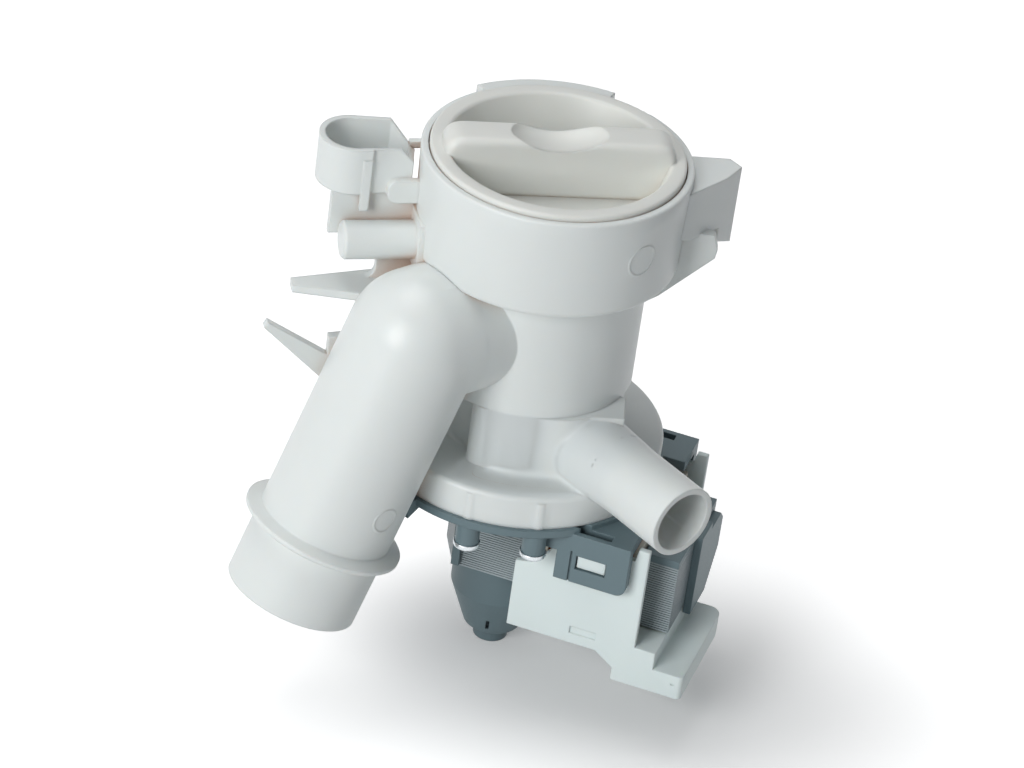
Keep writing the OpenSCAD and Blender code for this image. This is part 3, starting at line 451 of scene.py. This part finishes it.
def plate(name, outline, low, high):
    """A disc moved to an outline in mm and extruded from one height to another."""
    deselect()
    bpy.ops.mesh.primitive_circle_add(vertices=len(outline), fill_type="NGON", location=(0, 0, 0))
    piece = bpy.context.active_object
    piece.name = name
    for vertex, (x, y) in zip(piece.data.vertices, outline):
        vertex.co = (x * MM, y * MM, low * MM)
    bpy.ops.object.mode_set(mode="EDIT")
    bpy.ops.mesh.select_all(action="SELECT")
    bpy.ops.mesh.extrude_region_move(TRANSFORM_OT_translate={"value": (0, 0, (high - low) * MM)})
    bpy.ops.object.mode_set(mode="OBJECT")
    return clean(piece)


def turned(name, profile, segments=128):
    """A ring extruded and scaled along a closed profile of radius and height, in mm."""
    deselect()
    radius, height = profile[0]
    bpy.ops.mesh.primitive_circle_add(vertices=segments, radius=radius * MM, location=(0, 0, 0))
    piece = bpy.context.active_object
    piece.name = name
    bpy.ops.object.mode_set(mode="EDIT")
    bpy.ops.mesh.select_all(action="SELECT")
    bpy.ops.transform.translate(value=(0, 0, height * MM))
    for (r0, z0), (r1, z1) in zip(profile, profile[1:] + profile[:1]):
        bpy.ops.mesh.extrude_edges_move(TRANSFORM_OT_translate={"value": (0, 0, (z1 - z0) * MM)})
        bpy.ops.transform.resize(value=(r1 / r0, r1 / r0, 1), center_override=(0, 0, 0))
    bpy.ops.object.mode_set(mode="OBJECT")
    return clean(piece)


def rod(name, low, high, low_r, high_r, segments=128):
    """A straight or tapered rod on the Z axis, with its heights and radii in mm."""
    return turned(name, [(AXIS_R, low), (low_r, low), (high_r, high), (AXIS_R, high)], segments)


def copy_of(name, *sources):
    """Merged copies of solids from the frame, joined into one mesh by union."""
    piece = None
    for source in sources:
        part = bpy.data.objects.new(name, nodes[source].data.copy())
        bpy.context.scene.collection.objects.link(part)
        clean(part)
        bpy.ops.mesh.customdata_custom_splitnormals_clear()
        piece = part if piece is None else combine(piece, part, "UNION")
    piece.name = name
    return piece


def join(piece, other):
    """Puts another mesh into the piece's own, as it is."""
    deselect()
    other.select_set(True)
    piece.select_set(True)
    bpy.context.view_layer.objects.active = piece
    bpy.ops.object.join()
    return piece


MOTOR_TURN = Matrix.Rotation(math.radians(-15), 4, "Z")
print("helpers ready")

# %% [markdown]
# ## The outlet's root and its ledge
#
# Where the outlet leaves the pump chamber, the real moulding flows: a broad fillet
# runs from the pipe into the round wall and the flange, and a ledge beside it swells
# out of the neck. A bevel could blend them, but its width is fixed, and the real one
# widens and narrows all the way round. So a cone, a cheek of wall and a shelf of the
# flange are united, melted together by a fine voxel remesh and many passes of smooth,
# and hollowed again. The fillet then finds its own width, as it does in clay.
#
# Heights are in mm above the foot of the motor, and angles in degrees round the pump.

# %% Swell the chamber's wall
NECK_LOW, FLANGE_TOP = 98.7, 78.9
NECK_R, LEDGE_SWELL = 30.3, 1.9
SWELL_FROM, SWELL_OVER = -84, 24


def volute(start, end, steps=24):
    """An arc that swells from just inside the neck's skin to a ledge on it."""
    points = []
    for k in range(steps + 1):
        turn = start + (end - start) * k / steps
        share = min(max((turn - SWELL_FROM) / SWELL_OVER, 0), 1)
        points += arc(NECK_R + LEDGE_SWELL * share * share * (3 - 2 * share), turn, turn, 1)[:1]
    return points


print("the ledge stands out by", LEDGE_SWELL, "mm")

# %% Melt the root of the outlet
OUTLET_Z, OUTLET_TURN, OUTLET_BORE_R = 85.9, -46.7, 10
ROOT_R, PIPE_R, ROOT_START, PIPE_END = 12.5, 10.4, 16, 50
WALL_INSIDE_R, SHELF_R = 26, 41.5
VOXEL_MM, MELT_PASSES = 0.6, 60
along_outlet = Matrix.Translation((0, 0, OUTLET_Z * MM)) \
    @ Matrix.Rotation(math.radians(OUTLET_TURN), 4, "Z") @ Matrix.Rotation(math.radians(90), 4, "Y")
root = move_mesh(rod("outlet_root", ROOT_START, PIPE_END, ROOT_R, PIPE_R, segments=96), along_outlet)
cheek_outline = volute(-104, -24) + arc(WALL_INSIDE_R, -24, -104)
combine(root, plate("cheek", cheek_outline, FLANGE_TOP - 1, NECK_LOW), "UNION")
shelf_outline = arc(SHELF_R, -118, -12) + arc(WALL_INSIDE_R, -12, -118)
combine(root, plate("shelf", shelf_outline, FLANGE_TOP - 2.4, FLANGE_TOP), "UNION")
apply_modifier(root, "REMESH", mode="VOXEL", voxel_size=VOXEL_MM * MM)
apply_modifier(root, "SMOOTH", factor=0.5, iterations=MELT_PASSES)
print("rough fillet", len(root.data.polygons), "faces")

# %% Raise the ledge and hollow the fillet
CHAMBER_SPACE_R = 29.5
ledge_outline = volute(-112, -52) + [(29.5, -24.1), (29.2, -13.4)] + arc(29.4, -24, -112)
combine(root, plate("ledge", ledge_outline, FLANGE_TOP - 0.5, NECK_LOW), "UNION")
bore = rod("bore", 10, 55, OUTLET_BORE_R, OUTLET_BORE_R, segments=96)
combine(root, move_mesh(bore, along_outlet), "DIFFERENCE")
combine(root, rod("chamber_space", 60, 110, CHAMBER_SPACE_R, CHAMBER_SPACE_R), "DIFFERENCE")
combine(root, plate("below", arc(60, 0, 345, 23), 40, FLANGE_TOP - 1.5), "DIFFERENCE")
print(root.name, len(root.data.polygons), "faces")

# %% [markdown]
# ## The white moulding
#
# Cup, neck, pump chamber, flange, inlet and outlet come from one shot of plastic, so
# no seam may show between them. Copies of their three solids are united. The hose
# ring, the prongs, the wing and the fillet go into the same mesh as they are, because
# they meet the skin at a plain corner, where no seam can show. The one piece stands
# for all six solids.

# %% Unite the white moulding
SEAM_MM = 0.04
moulding = copy_of("white_moulding", "pump_housing", "sump_inlet", "outlet_nozzle")
clean(moulding, SEAM_MM)
for source in ("hose_clip", "guide_prongs", "mounting_wing"):
    join(moulding, copy_of(source + "_part", source))
join(moulding, root)
finish_piece(moulding, white_moulding, replaced=("pump_housing",
    "sump_inlet", "outlet_nozzle", "hose_clip", "guide_prongs", "mounting_wing"))

# %% [markdown]
# ## The filter cap
#
# The cap is turned in one piece, with a sloping dish, a groove for its seal and a lip.
# A grip bar crosses the dish, with two raised ends and a soft hollow between them. It
# is opened by hand once in a while, so every edge that a hand meets is well rounded.
# The bar's sides could be sculpted, but an outline with a bevel keeps them true, and
# only the hollow is cut by a squashed ball, which leaves the slopes that a thumb needs.

# %% Turn the cap
DISH_FLOOR, LIP_TOP, LIP_LOW, PLUG_LOW = 157.3, 169.8, 165.2, 151.5
LIP_R, PLUG_R, PLUG_BORE_R, GROOVE_R = 36.45, 34.8, 32.6, 32.75
cap_corners = [(AXIS_R, DISH_FLOOR), (27.85, DISH_FLOOR), (31.85, LIP_TOP), (LIP_R, LIP_TOP),
    (LIP_R, LIP_LOW), (PLUG_R, LIP_LOW), (PLUG_R, 161.06), (GROOVE_R, 160.4), (GROOVE_R, 159.4),
    (PLUG_R, 158.74), (PLUG_R, PLUG_LOW), (PLUG_BORE_R, PLUG_LOW), (PLUG_BORE_R, 155.1), (AXIS_R, 155.1)]
cap_profile = rounded(cap_corners, [0, 3, 1.3, 0.9, 0.3, 0.3, 0.1, 0.4, 0.4, 0.1, 0.8, 0.3, 1, 0])
cap = turned("turn_cap", cap_profile)
print(cap.name, len(cap.data.polygons), "faces")

# %% Shape the grip bar
BAR_REACH, BAR_LOW, BAR_TOP, BAR_HALF, BAR_EDGE = 33.1, 156.8, 175.1, 6, 2.2
BAR_TURN = 11.5
THUMB_PLACE, THUMB_RADII, THUMB_TILT = (0.5, 0, 177.4), (15, 9, 6.6), -5
bar_corners = [(-BAR_REACH, BAR_LOW), (-BAR_REACH, BAR_TOP), (BAR_REACH, BAR_TOP), (BAR_REACH, BAR_LOW)]
bar = plate("grip_bar", rounded(bar_corners, [0, 6, 6, 0], steps=8), -BAR_HALF, BAR_HALF)
move_mesh(bar, Matrix.Rotation(math.radians(90), 4, "X"))
apply_modifier(bar, "BEVEL", width=BAR_EDGE * MM, segments=5, limit_method="ANGLE",
    angle_limit=math.radians(50))
deselect()
bpy.ops.mesh.primitive_uv_sphere_add(segments=64, ring_count=32, radius=1, location=(0, 0, 0))
hollow = bpy.context.active_object
move_mesh(hollow, Matrix.Translation([place * MM for place in THUMB_PLACE])
    @ Matrix.Rotation(math.radians(THUMB_TILT), 4, "Y")
    @ Matrix.Diagonal([radius * MM for radius in THUMB_RADII] + [1]))
combine(bar, hollow, "DIFFERENCE")
move_mesh(bar, Matrix.Rotation(math.radians(BAR_TURN), 4, "Z"))
print(bar.name, len(bar.data.polygons), "faces")

# %% Join cap and bar
BAR_END_R = 33.05
combine(bar, rod("bar_limit", 150, 180, BAR_END_R, BAR_END_R), "INTERSECT")
combine(cap, bar, "UNION")
finish_piece(cap, cap_moulding, body="cap", replaced=("filter_cap",))

# %% [markdown]
# ## Laminated steel
#
# The stator is a stack of sheared sheets, riveted and varnished. Their edges catch the
# light as fine lines. A bump pattern could draw the lines, but it would vanish at the
# stack's outline and in the exported mesh, so each sheet is a slice of the solid, and
# the array modifier repeats it. A slightly thinner core fills what lies between them.
# The real sheets are half a millimetre thick. They are drawn a little thicker here,
# because half a millimetre is less than two pixels of the picture.

# %% Stack the sheets
SHEET_PITCH, SHEET_GAP, GAP_DEPTH = 0.8, 0.3, 0.25


def stack_sheets(name, source):
    """Cuts the lowest sheet from a copy of the solid and repeats it to the top."""
    low, high = (corner[2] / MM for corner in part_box(source))
    sheet = copy_of(name, source)
    bpy.ops.object.mode_set(mode="EDIT")
    bpy.ops.mesh.select_all(action="SELECT")
    bpy.ops.mesh.bisect(plane_co=(0, 0, (low + SHEET_PITCH - SHEET_GAP) * MM), plane_no=(0, 0, 1),
        use_fill=True, clear_outer=True)
    bpy.ops.object.mode_set(mode="OBJECT")
    clean(sheet)
    apply_modifier(sheet, "ARRAY", count=int((high - low + SHEET_GAP) / SHEET_PITCH),
        use_relative_offset=False, use_constant_offset=True,
        constant_offset_displace=(0, 0, SHEET_PITCH * MM))
    return finish_piece(sheet, sheet_steel, replaced=(source,))


def fill_gaps(name, source):
    """A copy of the solid, drawn in on every side, that closes the gaps with varnish and painted shade."""
    core = copy_of(name, source)
    bpy.ops.object.mode_set(mode="EDIT")
    bpy.ops.mesh.select_all(action="SELECT")
    bpy.ops.transform.shrink_fatten(value=-GAP_DEPTH * MM, use_even_offset=True)
    bpy.ops.object.mode_set(mode="OBJECT")
    return finish_piece(core, varnish_and_painted_shade)


for source in ("stator_core", "stator_yoke"):
    stack_sheets(source + "_sheets", source)
    # The core's dark colour is partly varnish and partly painted shade of the gaps between sheets.
    core = fill_gaps(source + "_varnish", source)
    print(source, [round(v * 1000, 2) for v in core.dimensions])

# %% [markdown]
# ## The coil cover
#
# The pale cover is a thick, soft-edged moulding round the two coils. Its copy gets
# real roundings, because its corners stand out against the dark motor, where a bevel
# in the shader would not show. The solid's flat faces are merged before that, as the
# bevel modifier needs whole faces on both sides of an edge. A shallow sunk field on
# the large face and a small scar of the mould on the foot are pressed in at the end.

# %% Round the cover
COVER_EDGE = 0.95
cover = copy_of("soft_cover", "coil_cover")
bpy.ops.object.mode_set(mode="EDIT")
bpy.ops.mesh.select_all(action="SELECT")
bpy.ops.mesh.dissolve_limited(angle_limit=math.radians(1))
bpy.ops.object.mode_set(mode="OBJECT")
apply_modifier(cover, "BEVEL", width=COVER_EDGE * MM, segments=4, limit_method="ANGLE",
    angle_limit=math.radians(35))
print(cover.name, len(cover.data.polygons), "faces")

# %% Press the marks of the mould into the cover
COVER_OUT = 28.8
marks = (("sunk_field", 0.45, [(31.4, 30), (39.5, 30), (39.5, 32.4), (31.4, 32.4)]),
    ("foot_scar", 0.3, [(63.9, 22.6), (64.9, 22.6), (64.9, 23.2), (63.9, 23.2)]))
for name, deep, mark in marks:
    stamp = move_mesh(plate(name, mark, 0, 2), Matrix.Rotation(math.radians(90), 4, "X"))
    move_mesh(stamp, MOTOR_TURN @ Matrix.Translation((0, (deep - COVER_OUT) * MM, 0)))
    combine(cover, stamp, "DIFFERENCE")
finish_piece(cover, pale_moulding, replaced=("coil_cover",))

# %% [markdown]
# ## Screws
#
# Four pan-head screws hold the motor under the flange, and the two near ones show
# their heads from below. A head is turned with a domed edge, and two crossed bars are
# cut from it for the driver. The thread is left out, because it is inside the plastic.
# One screw is modelled, and each copy has a mesh of its own, turned to its place.

# %% Turn the screws
SCREW_LOW, SCREW_REACH = 57.7, 39.8
HEAD_R, SHANK_R, HEAD_TOP = 3.9, 1.45, SCREW_LOW + 1.8
SLOT_REACH, SLOT_HALF = 2, 0.45
FIRST_TURN, OTHER_TURNS = -105, (-77, 77, 105)
screw_corners = [(AXIS_R, SCREW_LOW), (HEAD_R, SCREW_LOW), (HEAD_R, HEAD_TOP), (SHANK_R, HEAD_TOP),
    (SHANK_R, SCREW_LOW + 16.2), (AXIS_R, SCREW_LOW + 16.9)]
screw = turned("flange_screws", rounded(screw_corners, [0, 1.1, 0.25, 0, 0.4, 0]), segments=48)
slot_corners = [(-SLOT_REACH, -SLOT_HALF), (SLOT_REACH, -SLOT_HALF), (SLOT_REACH, SLOT_HALF),
    (-SLOT_REACH, SLOT_HALF)]
for turn in (0, 90):
    slot_bar = plate("slot_bar", slot_corners, SCREW_LOW - 1, SCREW_LOW + 1)
    combine(screw, move_mesh(slot_bar, Matrix.Rotation(math.radians(turn), 4, "Z")), "DIFFERENCE")
move_mesh(screw, Matrix.Translation((SCREW_REACH * MM, 0, 0)))
first = screw.data.copy()
move_mesh(screw, Matrix.Rotation(math.radians(FIRST_TURN), 4, "Z"))
for turn in OTHER_TURNS:
    twin = bpy.data.objects.new("twin", first.copy())
    bpy.context.scene.collection.objects.link(twin)
    join(screw, move_mesh(twin, Matrix.Rotation(math.radians(turn), 4, "Z")))
finish_piece(screw, zinc_steel, replaced=("housing_screws",))

# %% [markdown]
# ## Floor
#
# The floor is a sheet of white paper. To the camera it glows softly and so shows white,
# but the glow fades close round the motor, which paints a darker oval of shade there,
# and the pump's own shadow shows on it as well. Only what looks straight at the floor
# sees the glow, so that it throws no light up at the pump. The painted oval of shade
# lies round the shadow, made from the distance to a point under the motor.

# %% Lay the floor
deselect()
FLOOR_SIZE, FLOOR_DROP_MM = 6, 0.2
PAINTED_SHADE_SHIFT, PAINTED_SHADE_SQUEEZE = (-26 * MM, 14 * MM, 0), (0.6, 1, 1)
FADE_FROM_MM, FADE_TO_MM = 12, 85
NEAR_GLOW, FAR_GLOW = 0.12, 0.66
bpy.ops.mesh.primitive_plane_add(size=FLOOR_SIZE, location=(0, 0, 0))
floor = bpy.context.active_object
floor.name = "studio_floor"
move_mesh(floor, Matrix.Translation((0, 0, -FLOOR_DROP_MM * MM)))
print("floor", round(floor.dimensions.x, 2), "m wide")

# %% Let the floor glow
paper, paper_shader = new_material("white_backdrop_paper", 0.9)
paper_shader.inputs["Base Color"].default_value = linear("#e8e8e8")
spot = add_node(paper, "TexCoord").outputs["Object"]
painted_shade_centre = add_node(paper, "Mapping", {"Vector": spot, "Location": PAINTED_SHADE_SHIFT,
    "Scale": PAINTED_SHADE_SQUEEZE})
away = add_node(paper, "VectorMath", {"Vector": painted_shade_centre.outputs[0]}, operation="LENGTH")
# Painted shade: the floor's glow is dimmed in an oval round the motor's shadow.
painted_shade_fade = add_node(paper, "MapRange", {"Value": away.outputs["Value"], "From Min": FADE_FROM_MM * MM,
    "From Max": FADE_TO_MM * MM, "To Min": NEAR_GLOW, "To Max": FAR_GLOW}, interpolation_type="SMOOTHSTEP")
glow = add_node(paper, "Emission", {"Color": linear("#ffffff"), "Strength": painted_shade_fade.outputs["Result"]})
lit = add_node(paper, "AddShader")
paper.node_tree.links.new(paper_shader.outputs[0], lit.inputs[0])
paper.node_tree.links.new(glow.outputs[0], lit.inputs[1])
shown = add_node(paper, "MixShader", {"Fac": seen_directly(paper)})
paper.node_tree.links.new(paper_shader.outputs[0], shown.inputs[1])
paper.node_tree.links.new(lit.outputs[0], shown.inputs[2])
paper.node_tree.links.new(shown.outputs[0], paper.node_tree.nodes["Material Output"].inputs["Surface"])
floor.data.materials.append(paper)
print(paper.name, "glows from", NEAR_GLOW, "to", FAR_GLOW)
